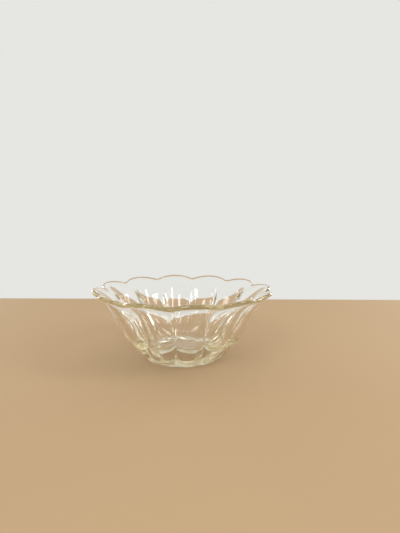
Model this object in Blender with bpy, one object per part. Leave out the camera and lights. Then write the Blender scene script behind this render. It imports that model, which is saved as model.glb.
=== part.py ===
"""Glass dessert bowl: one pressing of clear soda glass with a faint straw tint.

Twelve petal lobes rise from a thick, flat-standing base and flare into a scalloped, fire-polished rim.
The wall is corrugated inside and out: each lobe is a swelling outside and a hollow flute inside.
The wall is evenly thick from the rim down to a bend, below which the inside turns in over the thick base.
The bowl stands on z = 0 with its axis on Z, and the middle of one lobe points along +X.
"""

import math
from typing import NamedTuple

import bmesh
import bpy
from mathutils import Vector
from mathutils.geometry import interpolate_bezier

MM = 0.001

# Driving dimensions of the whole bowl
LOBES = 12
VALLEY_SHARE = 0.12  # share of a half lobe that is the rounded bottom of the groove
BEAD_RADIUS = 1.45 * MM  # round edge of the rim
WALL_THICKNESS = 2 * BEAD_RADIUS
LIP_ANGLE = math.radians(66)  # how far the lip leans out from upright
FLOOR_HEIGHT = 8.1 * MM  # inner floor above the table
HEEL_PULL = Vector((47.6 * MM, 0.0, 14.2 * MM))  # where the outer wall swells out above the foot
STANDING_RING_INNER = 21.0 * MM
RECESS_RADIUS = 20.0 * MM  # shallow hollow under the base
RECESS_DEPTH = 0.8 * MM


class Section(NamedTuple):
    """Sizes of the wall in one upright plane through the axis."""

    rim_radius: float  # middle of the rim bead
    rim_height: float
    foot_radius: float  # outer edge of the standing ring
    lip_pull: float  # reach of the lip's lean down the outer wall
    bend_height: float  # where the inside leaves the even wall for the base
    bend_pull: float  # roundness of that bend
    floor_pull_radius: float  # where the turn to the floor is drawn towards
    floor_radius: float  # edge of the flat inner floor


CREST = Section(63.5 * MM, 49.05 * MM, 28.3 * MM, 14.7 * MM, 17.5 * MM, 1.2 * MM, 24.8 * MM, 24.3 * MM)
GROOVE = Section(59.3 * MM, 46.7 * MM, 27.2 * MM, 33.2 * MM, 18.0 * MM, 2.0 * MM, 21.0 * MM, 20.0 * MM)

# Facets
STEPS_PER_LOBE = 12
OUTER_STEPS = 12
BEAD_STEPS = 6
INNER_STEPS = 9
TURN_STEPS = 5
FINE_STEPS = 200  # fine line from which the inner face is drawn

STEPS_ROUND = LOBES * STEPS_PER_LOBE
STEP_ANGLE = 2 * math.pi / STEPS_ROUND

SHARP_ANGLE = math.radians(40)
GLASS_TINT = (0.93, 0.92, 0.82, 1.0)
GLASS_ROUGHNESS = 0.03
GLASS_IOR = 1.52


def clear_scene():
    for item in list(bpy.data.objects):
        bpy.data.objects.remove(item, do_unlink=True)


def glass_material():
    """Clear soda glass, smooth from the mould and the flame."""
    material = bpy.data.materials.new("soda_glass")
    material.use_nodes = True
    shader = material.node_tree.nodes["Principled BSDF"]
    shader.inputs["Base Color"].default_value = GLASS_TINT
    shader.inputs["Roughness"].default_value = GLASS_ROUGHNESS
    shader.inputs["Metallic"].default_value = 0.0
    shader.inputs["IOR"].default_value = GLASS_IOR
    shader.inputs["Transmission Weight"].default_value = 1.0
    return material


def inner_face(outside):
    """The inner face of an even wall, from the rim down, for a fine line up its outside."""
    face = []
    for below, above in zip(outside, outside[1:]):
        up = (above - below).normalized()
        inward = Vector((-up.z, 0.0, up.x))
        face.append((below + above) / 2 + WALL_THICKNESS * inward)
    return face[::-1]


def wall_profile(section):
    """The wall's outline in the XZ plane: up the outside, over the rim bead and down the inside to the floor."""
    lip = Vector((math.sin(LIP_ANGLE), 0.0, math.cos(LIP_ANGLE)))
    outward = Vector((math.cos(LIP_ANGLE), 0.0, -math.sin(LIP_ANGLE)))
    bead = Vector((section.rim_radius, 0.0, section.rim_height))
    outer_end = bead + BEAD_RADIUS * outward
    inner_end = bead - BEAD_RADIUS * outward
    foot = Vector((section.foot_radius, 0.0, 0.0))
    lip_pull = outer_end - section.lip_pull * lip

    outside = interpolate_bezier(foot, HEEL_PULL, lip_pull, outer_end, OUTER_STEPS + 1)
    turns = [math.pi * step / BEAD_STEPS for step in range(1, BEAD_STEPS)]
    over_rim = [bead + BEAD_RADIUS * (math.cos(turn) * outward + math.sin(turn) * lip) for turn in turns]

    fine = interpolate_bezier(foot, HEEL_PULL, lip_pull, outer_end, FINE_STEPS + 1)
    face = [inner_end] + [point for point in inner_face(fine) if point.z > section.bend_height]
    inside = [face[round(step * (len(face) - 1) / INNER_STEPS)] for step in range(INNER_STEPS + 1)]

    bend = face[-1]
    down_wall = (face[-1] - face[-2]).normalized()
    floor_pull = Vector((section.floor_pull_radius, 0.0, FLOOR_HEIGHT))
    floor_edge = Vector((section.floor_radius, 0.0, FLOOR_HEIGHT))
    turn_in = interpolate_bezier(
        bend, bend + section.bend_pull * down_wall, floor_pull, floor_edge, TURN_STEPS + 1
    )
    return outside + over_rim + inside + turn_in[1:]


def swelling(angle):
    """How far a point has left the groove for the crest of its lobe, from 0 to 1."""
    lobe_angle = 2 * math.pi / LOBES
    off_crest = 2.0 * abs((angle / lobe_angle + 0.5) % 1.0 - 0.5)
    flank_end = 1.0 - VALLEY_SHARE
    if off_crest < flank_end:
        return 1.0 - off_crest**2 / flank_end
    return (1.0 - off_crest) ** 2 / VALLEY_SHARE


def raise_ring(mesh, ring_edges, place):
    """Extrudes a ring of edges and puts each new vertex where place says for its angle."""
    grown = bmesh.ops.extrude_edge_only(mesh, edges=ring_edges)["geom"]
    for vertex in grown:
        if isinstance(vertex, bmesh.types.BMVert):
            angle = round(math.atan2(vertex.co.y, vertex.co.x) / STEP_ANGLE) * STEP_ANGLE
            radius, height = place(angle)
            vertex.co = (radius * math.cos(angle), radius * math.sin(angle), height)
    return [edge for edge in grown if isinstance(edge, bmesh.types.BMEdge)]


def ring_between(crest_point, groove_point):
    """A ring that swells from one profile's point in the grooves to the other's on the crests."""

    def place(angle):
        point = groove_point.lerp(crest_point, swelling(angle))
        return point.x, point.z

    return place


def make_bowl():
    mesh = bmesh.new()
    bmesh.ops.create_circle(mesh, cap_ends=True, segments=STEPS_ROUND, radius=RECESS_RADIUS)
    bmesh.ops.translate(mesh, verts=mesh.verts, vec=(0.0, 0.0, RECESS_DEPTH))
    ring = mesh.edges[:]
    ring = raise_ring(mesh, ring, lambda angle: (STANDING_RING_INNER, 0.0))
    for crest_point, groove_point in zip(wall_profile(CREST), wall_profile(GROOVE)):
        ring = raise_ring(mesh, ring, ring_between(crest_point, groove_point))
    bmesh.ops.contextual_create(mesh, geom=ring)
    bmesh.ops.recalc_face_normals(mesh, faces=mesh.faces)

    data = bpy.data.meshes.new("bowl")
    mesh.to_mesh(data)
    mesh.free()
    data.shade_smooth()
    data.set_sharp_from_angle(angle=SHARP_ANGLE)
    data.materials.append(glass_material())
    bowl = bpy.data.objects.new("bowl", data)
    bpy.context.scene.collection.objects.link(bowl)
    return bowl


clear_scene()
make_bowl()
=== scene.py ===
"""Looks of the glass dessert bowl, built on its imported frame: one lobed pressing of clear soda glass."""

import math
from typing import NamedTuple

import bmesh
import bpy
from mathutils import Matrix, Vector
from mathutils.geometry import interpolate_bezier


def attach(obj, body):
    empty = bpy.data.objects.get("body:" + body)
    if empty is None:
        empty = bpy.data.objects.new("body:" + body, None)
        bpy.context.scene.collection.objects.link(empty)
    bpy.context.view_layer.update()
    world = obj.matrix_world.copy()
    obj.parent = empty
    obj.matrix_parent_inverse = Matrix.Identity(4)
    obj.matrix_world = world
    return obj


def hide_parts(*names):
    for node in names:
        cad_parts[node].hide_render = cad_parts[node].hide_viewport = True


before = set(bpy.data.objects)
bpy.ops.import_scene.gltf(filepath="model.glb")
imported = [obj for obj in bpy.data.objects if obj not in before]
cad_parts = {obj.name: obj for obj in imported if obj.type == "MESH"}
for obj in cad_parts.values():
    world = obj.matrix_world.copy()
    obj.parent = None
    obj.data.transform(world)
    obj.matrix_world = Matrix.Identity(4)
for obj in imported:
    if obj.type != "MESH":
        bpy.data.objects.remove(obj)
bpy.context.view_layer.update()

# The bowl
# One pressing of soda glass: hot glass squeezed between a lobed mould and a lobed plunger, then softened at
# the edge in a flame, which rounds the rim into a bead. It stands free on a flat ring under its thick base.

MM = 0.001
LOBES = 12
VALLEY_SHARE = 0.12  # share of a half lobe that is the rounded bottom of the groove
BEAD_RADIUS = 1.44 * MM  # a hair under the solid's, so that the finer bead stays inside its box
WALL_THICKNESS = 2 * BEAD_RADIUS
LIP_ANGLE = math.radians(66)  # how far the lip leans out from upright
FLOOR_HEIGHT = 8.1 * MM  # inner floor above the table
HEEL_PULL = Vector((47.6 * MM, 0.0, 14.2 * MM))  # where the outer wall swells out above the foot
STANDING_RING_INNER = 21.0 * MM
RECESS_RADIUS = 20.0 * MM  # shallow hollow under the base
RECESS_DEPTH = 0.8 * MM
CENTRE_RADIUS = 1.0 * MM  # small flat disc that closes the recess and the inner floor


class Section(NamedTuple):
    """Sizes of the wall in one upright plane through the axis."""

    rim_radius: float  # middle of the rim bead
    rim_height: float
    foot_radius: float  # outer edge of the standing ring
    lip_pull: float  # reach of the lip's lean down the outer wall
    bend_height: float  # where the inside leaves the even wall for the base
    bend_pull: float  # roundness of that bend
    floor_pull_radius: float  # where the turn to the floor is drawn towards
    floor_radius: float  # edge of the flat inner floor


CREST = Section(
    rim_radius=63.5 * MM,
    rim_height=49.05 * MM,
    foot_radius=28.3 * MM,
    lip_pull=14.7 * MM,
    bend_height=17.5 * MM,
    bend_pull=1.2 * MM,
    floor_pull_radius=24.8 * MM,
    floor_radius=24.3 * MM,
)
GROOVE = Section(
    rim_radius=59.3 * MM,
    rim_height=46.7 * MM,
    foot_radius=27.2 * MM,
    lip_pull=33.2 * MM,
    bend_height=18.0 * MM,
    bend_pull=2.0 * MM,
    floor_pull_radius=21.0 * MM,
    floor_radius=20.0 * MM,
)

STEPS_PER_LOBE = 24
OUTER_STEPS = 48
BEAD_STEPS = 14
INNER_STEPS = 28
TURN_STEPS = 28
FINE_STEPS = 400  # fine line from which the inner face is drawn
STEPS_ROUND = LOBES * STEPS_PER_LOBE
STEP_ANGLE = 2 * math.pi / STEPS_ROUND
SHARP_ANGLE = math.radians(30)


def inner_face(outside):
    """The inner face of an even wall, from the rim down, for a fine line up its outside."""
    face = []
    for below, above in zip(outside, outside[1:]):
        up = (above - below).normalized()
        inward = Vector((-up.z, 0.0, up.x))
        face.append((below + above) / 2 + WALL_THICKNESS * inward)
    return face[::-1]


def wall_profile(section):
    """The wall's outline in the XZ plane: up the outside, over the rim and down the inside to the floor."""
    lip = Vector((math.sin(LIP_ANGLE), 0.0, math.cos(LIP_ANGLE)))
    outward = Vector((math.cos(LIP_ANGLE), 0.0, -math.sin(LIP_ANGLE)))
    bead = Vector((section.rim_radius, 0.0, section.rim_height))
    outer_end = bead + BEAD_RADIUS * outward
    inner_end = bead - BEAD_RADIUS * outward
    foot = Vector((section.foot_radius, 0.0, 0.0))
    lip_pull = outer_end - section.lip_pull * lip

    outside = interpolate_bezier(foot, HEEL_PULL, lip_pull, outer_end, OUTER_STEPS + 1)
    turns = [math.pi * step / BEAD_STEPS for step in range(1, BEAD_STEPS)]
    over_rim = [bead + BEAD_RADIUS * (math.cos(turn) * outward + math.sin(turn) * lip) for turn in turns]

    fine = interpolate_bezier(foot, HEEL_PULL, lip_pull, outer_end, FINE_STEPS + 1)
    face = [inner_end] + [point for point in inner_face(fine) if point.z > section.bend_height]
    inside = [face[round(step * (len(face) - 1) / INNER_STEPS)] for step in range(INNER_STEPS + 1)]

    bend = face[-1]
    down_wall = (face[-1] - face[-2]).normalized()
    floor_pull = Vector((section.floor_pull_radius, 0.0, FLOOR_HEIGHT))
    floor_edge = Vector((section.floor_radius, 0.0, FLOOR_HEIGHT))
    turn_in = interpolate_bezier(
        bend, bend + section.bend_pull * down_wall, floor_pull, floor_edge, TURN_STEPS + 1
    )
    return outside + over_rim + inside + turn_in[1:]


def swelling(angle):
    """How far a point has left the groove for the crest of its lobe, from 0 to 1."""
    lobe_angle = 2 * math.pi / LOBES
    off_crest = 2.0 * abs((angle / lobe_angle + 0.5) % 1.0 - 0.5)
    flank_end = 1.0 - VALLEY_SHARE
    if off_crest < flank_end:
        return 1.0 - off_crest**2 / flank_end
    return (1.0 - off_crest) ** 2 / VALLEY_SHARE


def raise_ring(mesh, ring_edges, place):
    """Extrudes a ring of edges and puts each new vertex where place says for its angle."""
    grown = bmesh.ops.extrude_edge_only(mesh, edges=ring_edges)["geom"]
    for vertex in grown:
        if isinstance(vertex, bmesh.types.BMVert):
            angle = round(math.atan2(vertex.co.y, vertex.co.x) / STEP_ANGLE) * STEP_ANGLE
            radius, height = place(angle)
            vertex.co = (radius * math.cos(angle), radius * math.sin(angle), height)
    return [edge for edge in grown if isinstance(edge, bmesh.types.BMEdge)]


def ring_between(crest_point, groove_point):
    """A ring that swells from one profile's point in the grooves to the other's on the crests."""

    def place(angle):
        point = groove_point.lerp(crest_point, swelling(angle))
        return point.x, point.z

    return place


def linear(hex_colour):
    """An sRGB hex colour as linear red, green, blue and alpha."""
    channels = [int(hex_colour[start : start + 2], 16) / 255 for start in (1, 3, 5)]
    return [c / 12.92 if c <= 0.04045 else ((c + 0.055) / 1.055) ** 2.4 for c in channels] + [1.0]


def add_node(tree, kind, settings=(), links=()):
    """Adds a shader node, sets its properties and inputs, and links other nodes' outputs to its inputs."""
    node = tree.nodes.new(kind)
    for name, value in dict(settings).items():
        if isinstance(name, str) and hasattr(node, name):
            setattr(node, name, value)
        else:
            node.inputs[name].default_value = value
    for source, output, name in links:
        tree.links.new(source.outputs[output], node.inputs[name])
    return node


def bare_tree(name):
    """A new material with an empty node tree."""
    material = bpy.data.materials.new(name)
    material.use_nodes = True
    material.node_tree.nodes.clear()
    return material, material.node_tree


# Clear soda glass from an iron mould, seen as slightly drawn and uneven: faint streaks run down the wall
# where the plunger pulled the glass, broader waves bend what shows through it, the ring that it stands on is
# scuffed, and iron in the sand gives thick glass a straw tint.
GLASS_IOR = 1.52
GLASS_COLOUR = linear("#FFFFFF")
TINT_COLOUR = linear("#EBE2BC")
TINT_DENSITY = 19.0
STREAK_WIDTH = 2.2 * MM
STREAK_HEIGHT = 0.008 * MM
STREAK_STRETCH = 0.1  # draws the streaks out tenfold down the wall
MEAN_RADIUS = 45.0 * MM  # turns a bearing into a length round the wall
WAVE_WIDTH = 11.0 * MM
WAVE_HEIGHT = 0.05 * MM
SCUFF_SIZE = 0.6 * MM
SCUFF_REACH = 0.3 * MM  # height above the table at which the scuffs end
SCUFF_ROUGHNESS = 0.5

glass, glass_tree = bare_tree("pressed_soda_glass")
place_on_bowl = add_node(glass_tree, "ShaderNodeTexCoord")
level_part = add_node(
    glass_tree,
    "ShaderNodeVectorMath",
    {"operation": "MULTIPLY", 1: (1.0, 1.0, 0.0)},
    [(place_on_bowl, "Object", 0)],
)
bearing_on_bowl = add_node(
    glass_tree, "ShaderNodeVectorMath", {"operation": "NORMALIZE"}, [(level_part, "Vector", 0)]
)
round_the_wall = add_node(
    glass_tree,
    "ShaderNodeVectorMath",
    {"operation": "SCALE", "Scale": MEAN_RADIUS},
    [(bearing_on_bowl, "Vector", 0)],
)
down_the_wall = add_node(
    glass_tree,
    "ShaderNodeVectorMath",
    {"operation": "MULTIPLY_ADD", 1: (STREAK_STRETCH, STREAK_STRETCH, STREAK_STRETCH)},
    [(place_on_bowl, "Object", 0), (round_the_wall, "Vector", 2)],
)
streaks = add_node(
    glass_tree,
    "ShaderNodeTexNoise",
    {"Scale": 1 / STREAK_WIDTH, "Detail": 2.0, "Roughness": 0.5},
    [(down_the_wall, "Vector", "Vector")],
)
waves = add_node(
    glass_tree,
    "ShaderNodeTexNoise",
    {"Scale": 1 / WAVE_WIDTH, "Detail": 1.0, "Roughness": 0.4},
    [(place_on_bowl, "Object", "Vector")],
)
streaked = add_node(
    glass_tree, "ShaderNodeBump", {"Strength": 1.0, "Distance": STREAK_HEIGHT}, [(streaks, "Fac", "Height")]
)
uneven = add_node(
    glass_tree,
    "ShaderNodeBump",
    {"Strength": 1.0, "Distance": WAVE_HEIGHT},
    [(waves, "Fac", "Height"), (streaked, "Normal", "Normal")],
)
height_on_bowl = add_node(glass_tree, "ShaderNodeSeparateXYZ", links=[(place_on_bowl, "Object", "Vector")])
near_table = add_node(
    glass_tree,
    "ShaderNodeMapRange",
    {"From Min": 0.0, "From Max": SCUFF_REACH, "To Min": SCUFF_ROUGHNESS, "To Max": 0.0},
    [(height_on_bowl, "Z", "Value")],
)
scuffs = add_node(
    glass_tree,
    "ShaderNodeTexNoise",
    {"Scale": 1 / SCUFF_SIZE, "Detail": 3.0},
    [(place_on_bowl, "Object", "Vector")],
)
scuffed = add_node(
    glass_tree, "ShaderNodeMath", {"operation": "MULTIPLY"}, [(near_table, "Result", 0), (scuffs, "Fac", 1)]
)
body = add_node(
    glass_tree,
    "ShaderNodeBsdfPrincipled",
    {"Base Color": GLASS_COLOUR, "IOR": GLASS_IOR, "Transmission Weight": 1.0},
    [(scuffed, "Value", "Roughness"), (uneven, "Normal", "Normal")],
)
tint = add_node(glass_tree, "ShaderNodeVolumeAbsorption", {"Color": TINT_COLOUR, "Density": TINT_DENSITY})
add_node(
    glass_tree,
    "ShaderNodeOutputMaterial",
    links=[(body, "BSDF", "Surface"), (tint, "Volume", "Volume")],
)

mesh = bmesh.new()
bmesh.ops.create_circle(mesh, cap_ends=True, segments=STEPS_ROUND, radius=CENTRE_RADIUS)
bmesh.ops.translate(mesh, verts=mesh.verts, vec=(0.0, 0.0, RECESS_DEPTH))
ring = mesh.edges[:]
ring = raise_ring(mesh, ring, lambda angle: (RECESS_RADIUS, RECESS_DEPTH))
ring = raise_ring(mesh, ring, lambda angle: (STANDING_RING_INNER, 0.0))
for crest_point, groove_point in zip(wall_profile(CREST), wall_profile(GROOVE)):
    ring = raise_ring(mesh, ring, ring_between(crest_point, groove_point))
ring = raise_ring(mesh, ring, lambda angle: (CENTRE_RADIUS, FLOOR_HEIGHT))
bmesh.ops.contextual_create(mesh, geom=ring)
bmesh.ops.recalc_face_normals(mesh, faces=mesh.faces)
data = bpy.data.meshes.new("pressed_bowl")
mesh.to_mesh(data)
mesh.free()
data.shade_smooth()
data.set_sharp_from_angle(angle=SHARP_ANGLE)
data.materials.append(glass)
bowl = bpy.data.objects.new("pressed_bowl", data)
bpy.context.scene.collection.objects.link(bowl)
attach(bowl, "root")
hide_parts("bowl")

# The camera
# Held low in front of the bowl, about 29 cm from its axis and 10 cm above the surface that it stands on.
# Its focal length, pan, pitch and roll put the scallops and the foot where the photo has them.

IMAGE_LONG_SIDE = 533
FOCAL_PIXELS = 400.0
SENSOR = 36.0
CAMERA_DISTANCE = 288.7 * MM
CAMERA_HEIGHT = 99.0 * MM
CAMERA_AZIMUTH = math.radians(-97.05)
PAN = math.radians(2.44)
PITCH = math.radians(6.66)
ROLL = math.radians(0.24)
CLIP_START = 10 * MM

look_azimuth = CAMERA_AZIMUTH + math.pi - PAN
level_forward = Vector((math.cos(look_azimuth), math.sin(look_azimuth), 0.0))
right = Vector((math.sin(look_azimuth), -math.cos(look_azimuth), 0.0))
forward = math.cos(PITCH) * level_forward - math.sin(PITCH) * Vector((0.0, 0.0, 1.0))
up = right.cross(forward)
rolled_right = math.cos(ROLL) * right + math.sin(ROLL) * up
rolled_up = math.cos(ROLL) * up - math.sin(ROLL) * right
camera_turn = Matrix((rolled_right, rolled_up, -forward)).transposed()
camera_place = Vector(
    (CAMERA_DISTANCE * math.cos(CAMERA_AZIMUTH), CAMERA_DISTANCE * math.sin(CAMERA_AZIMUTH), CAMERA_HEIGHT)
)
camera = bpy.data.objects.new("camera", bpy.data.cameras.new("camera"))
camera.data.sensor_width = SENSOR
camera.data.lens = FOCAL_PIXELS / IMAGE_LONG_SIDE * SENSOR
camera.data.clip_start = CLIP_START
camera.matrix_world = Matrix.Translation(camera_place) @ camera_turn.to_4x4()
bpy.context.scene.collection.objects.link(camera)
bpy.context.scene.camera = camera

# The floor
# A plain pale board that the bowl stands on. Its far edge is straight, and the pale surround shows beyond it.

FLOOR_DROP = 0.05 * MM  # keeps the board clear of the standing ring
FLOOR_SIZE = 4.0
FLOOR_EDGE_DISTANCE = 495 * MM
FLOOR_COLOUR = linear("#BEA07B")
# The share of its own colour that the board shows in shade too. Light that the glass lets through reaches the
# board beneath it, so the board is paler through the glass than in the shadow beside it.
UNSHADED_SHARE = 0.2
UNSHADED_THROUGH_GLASS = 0.55

# Matt paint, rolled on: an even colour with a soft shadow on it and hardly a reflection.
floor_paint, floor_tree = bare_tree("matt_painted_board")
paint = add_node(
    floor_tree, "ShaderNodeBsdfPrincipled", {"Base Color": FLOOR_COLOUR, "Roughness": 0.8, "IOR": 1.4}
)
own_colour = add_node(floor_tree, "ShaderNodeEmission", {"Color": FLOOR_COLOUR, "Strength": 1.0})
ray = add_node(floor_tree, "ShaderNodeLightPath")
straight_or_mirrored = add_node(
    floor_tree,
    "ShaderNodeMath",
    {"operation": "MAXIMUM"},
    [(ray, "Is Camera Ray", 0), (ray, "Is Glossy Ray", 1)],
)
unshaded_beside = add_node(
    floor_tree,
    "ShaderNodeMath",
    {"operation": "MULTIPLY", 1: UNSHADED_SHARE},
    [(straight_or_mirrored, "Value", 0)],
)
unshaded_through = add_node(
    floor_tree,
    "ShaderNodeMath",
    {"operation": "MULTIPLY", 1: UNSHADED_THROUGH_GLASS},
    [(ray, "Is Transmission Ray", 0)],
)
unshaded = add_node(
    floor_tree,
    "ShaderNodeMath",
    {"operation": "MAXIMUM"},
    [(unshaded_beside, "Value", 0), (unshaded_through, "Value", 1)],
)
board = add_node(
    floor_tree,
    "ShaderNodeMixShader",
    links=[(unshaded, "Value", 0), (paint, "BSDF", 1), (own_colour, "Emission", 2)],
)
add_node(floor_tree, "ShaderNodeOutputMaterial", links=[(board, "Shader", "Surface")])

far_edge = Vector((camera_place.x, camera_place.y, 0.0)) + FLOOR_EDGE_DISTANCE * level_forward
sheet = bmesh.new()
bmesh.ops.create_grid(sheet, x_segments=1, y_segments=1, size=FLOOR_SIZE / 2)
bmesh.ops.translate(sheet, verts=sheet.verts, vec=(0.0, 0.0, -FLOOR_DROP))
bmesh.ops.bisect_plane(
    sheet,
    geom=sheet.verts[:] + sheet.edges[:] + sheet.faces[:],
    plane_co=far_edge,
    plane_no=level_forward,
    clear_outer=True,
)
floor_data = bpy.data.meshes.new("floor")
sheet.to_mesh(floor_data)
sheet.free()
floor_data.materials.append(floor_paint)
floor = bpy.data.objects.new("floor", floor_data)
bpy.context.scene.collection.objects.link(floor)

# The light
# A pale room, brightest behind the bowl, with soft windows out of the camera's sight: one on the right, one
# behind the camera, and a narrow strip beyond either edge of the view. The windows draw white streaks in the
# flutes, and the strips draw them along the flanks.

ROOM_COLOUR = linear("#E6E6E2")
BACK_SHARE = 0.85  # brightness of the room behind the camera
SIDE_SHARE = 0.8  # brightness of the room on either side
BACK_FADE = (-0.7, 0.3)  # parts of a direction along the view between which the room brightens
SIDE_FADE = (0.5, 0.9)  # parts of a direction across the view between which it dims
WINDOW_DISTANCE = 0.9

world = bpy.data.worlds.new("pale_room")
world.use_nodes = True
world_tree = world.node_tree
world_tree.nodes.clear()
direction = add_node(world_tree, "ShaderNodeTexCoord")
ahead = add_node(
    world_tree,
    "ShaderNodeVectorMath",
    {"operation": "DOT_PRODUCT", 1: level_forward},
    [(direction, "Generated", 0)],
)
sideways = add_node(
    world_tree,
    "ShaderNodeVectorMath",
    {"operation": "DOT_PRODUCT", 1: right},
    [(direction, "Generated", 0)],
)
off_middle = add_node(world_tree, "ShaderNodeMath", {"operation": "ABSOLUTE"}, [(sideways, "Value", 0)])
back_light = add_node(
    world_tree,
    "ShaderNodeMapRange",
    {
        "interpolation_type": "SMOOTHSTEP",
        "From Min": BACK_FADE[0],
        "From Max": BACK_FADE[1],
        "To Min": BACK_SHARE,
        "To Max": 1.0,
    },
    [(ahead, "Value", "Value")],
)
side_light = add_node(
    world_tree,
    "ShaderNodeMapRange",
    {
        "interpolation_type": "SMOOTHSTEP",
        "From Min": SIDE_FADE[0],
        "From Max": SIDE_FADE[1],
        "To Min": 1.0,
        "To Max": SIDE_SHARE,
    },
    [(off_middle, "Value", "Value")],
)
brightness = add_node(
    world_tree,
    "ShaderNodeMath",
    {"operation": "MULTIPLY"},
    [(back_light, "Result", 0), (side_light, "Result", 1)],
)
room = add_node(
    world_tree,
    "ShaderNodeBackground",
    {"Color": ROOM_COLOUR},
    [(brightness, "Value", "Strength")],
)
add_node(world_tree, "ShaderNodeOutputWorld", links=[(room, "Background", "Surface")])
bpy.context.scene.world = world


class Window(NamedTuple):
    """A soft window that faces the bowl from WINDOW_DISTANCE away."""

    bearing: float  # degrees to the right of straight ahead
    elevation: float  # degrees up from the floor
    width: float
    height: float
    watts: float


WINDOWS = {
    "window_right": Window(bearing=108, elevation=35, width=0.20, height=0.57, watts=2.6),
    "window_behind": Window(bearing=-155, elevation=38, width=0.42, height=0.24, watts=2.0),
    "strip_right": Window(bearing=40, elevation=12, width=0.08, height=0.40, watts=1.2),
    "strip_left": Window(bearing=-40, elevation=12, width=0.08, height=0.40, watts=1.2),
}

for name, window in WINDOWS.items():
    bearing = math.radians(window.bearing)
    elevation = math.radians(window.elevation)
    level = math.cos(bearing) * level_forward + math.sin(bearing) * right
    towards = math.cos(elevation) * level + math.sin(elevation) * Vector((0.0, 0.0, 1.0))
    lamp = bpy.data.lights.new(name, "AREA")
    lamp.shape = "RECTANGLE"
    lamp.size = window.width
    lamp.size_y = window.height
    lamp.energy = window.watts
    source = bpy.data.objects.new(name, lamp)
    source.location = WINDOW_DISTANCE * towards
    source.rotation_euler = (-towards).to_track_quat("-Z", "Y").to_euler()
    bpy.context.scene.collection.objects.link(source)

# Light that enters the thick glass is reflected inside it many times before it leaves.
bpy.context.scene.cycles.max_bounces = 32
bpy.context.scene.cycles.glossy_bounces = 24
bpy.context.scene.cycles.transmission_bounces = 24
bpy.context.scene.view_settings.view_transform = "Standard"
